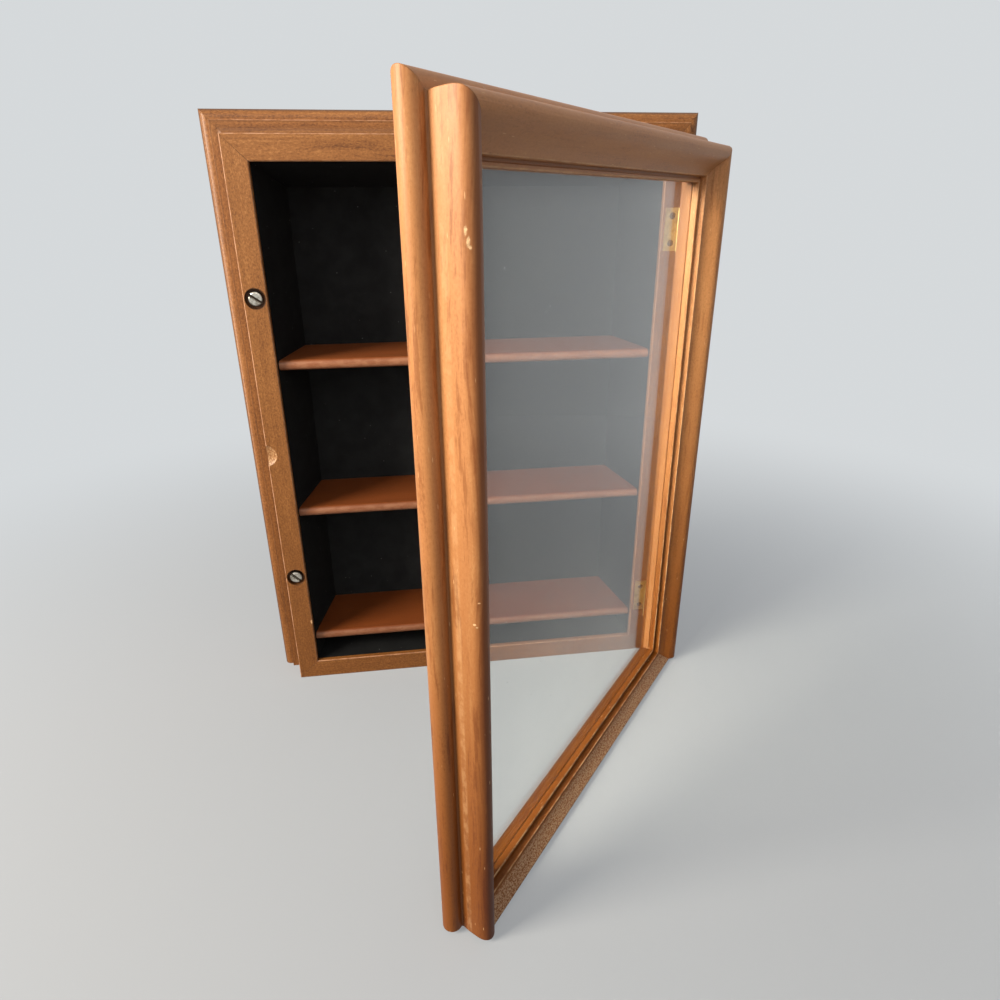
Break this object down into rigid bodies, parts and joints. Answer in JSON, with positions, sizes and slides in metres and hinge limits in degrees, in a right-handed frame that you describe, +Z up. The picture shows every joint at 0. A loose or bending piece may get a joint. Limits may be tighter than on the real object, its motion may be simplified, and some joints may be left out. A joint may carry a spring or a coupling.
{
  "type": "display case",
  "caption": "Shallow felt-lined wooden display case with shelves for thimbles, a stepped moulded frame and a hinged glazed door on magnetic catches.",
  "frame": {"origin": "centre of the case's base, half way between the front face of the case's moulding and the back of its box", "axes": "+X to the right of someone facing the case's front, +Y from the front into the case, +Z up; the door hinges on the right and stands open towards -Y"},
  "size_m": [0.2368, 0.2227, 0.2972],
  "materials": {
    "frame_wood": "satin stain",
    "door_wood": "satin stain",
    "stop_wood": "satin stain",
    "box_wood": "satin stain",
    "shelf_wood": "satin stain",
    "panel_board": "matte hardboard",
    "lining_felt": "matte felt",
    "glass": "clear",
    "brass": "satin",
    "brass_nails": "satin",
    "steel": "dull plated",
    "magnet": "plated"
  },
  "bodies": {
    "case": {"case_rail_top": "frame_wood", "case_rail_bottom": "frame_wood", "case_stile_left": "frame_wood", "case_stile_right": "frame_wood", "box_side_left": "box_wood", "box_side_right": "box_wood", "box_top": "box_wood", "box_floor": "box_wood", "back_panel": "panel_board", "lining_back": "lining_felt", "lining_left": "lining_felt", "lining_right": "lining_felt", "lining_top": "lining_felt", "lining_floor": "lining_felt", "shelf_upper": "shelf_wood", "shelf_middle": "shelf_wood", "shelf_lower": "shelf_wood", "catch_screws": "steel", "hinge_upper_case_leaf": "brass", "hinge_lower_case_leaf": "brass", "hinge_upper_pin": "brass", "hinge_lower_pin": "brass", "hinge_case_nails": "brass_nails"},
    "door": {"hinge_upper_door_leaf": "brass", "hinge_lower_door_leaf": "brass", "hinge_door_nails": "brass_nails", "door_rail_top": "door_wood", "door_rail_bottom": "door_wood", "door_stile_closing": "door_wood", "door_stile_hinge": "door_wood", "door_glass": "glass", "glass_stop_top": "stop_wood", "glass_stop_bottom": "stop_wood", "glass_stop_closing": "stop_wood", "glass_stop_hinge": "stop_wood", "magnet_upper": "magnet", "magnet_lower": "magnet"}
  },
  "joints": [
    {"name": "door_hinge", "type": "hinge", "parent": "case", "child": "door", "pos_m": [0.1046, -0.0258, 0], "axis": [0, 0, 1], "range_deg": [-50, 45]}
  ]
}
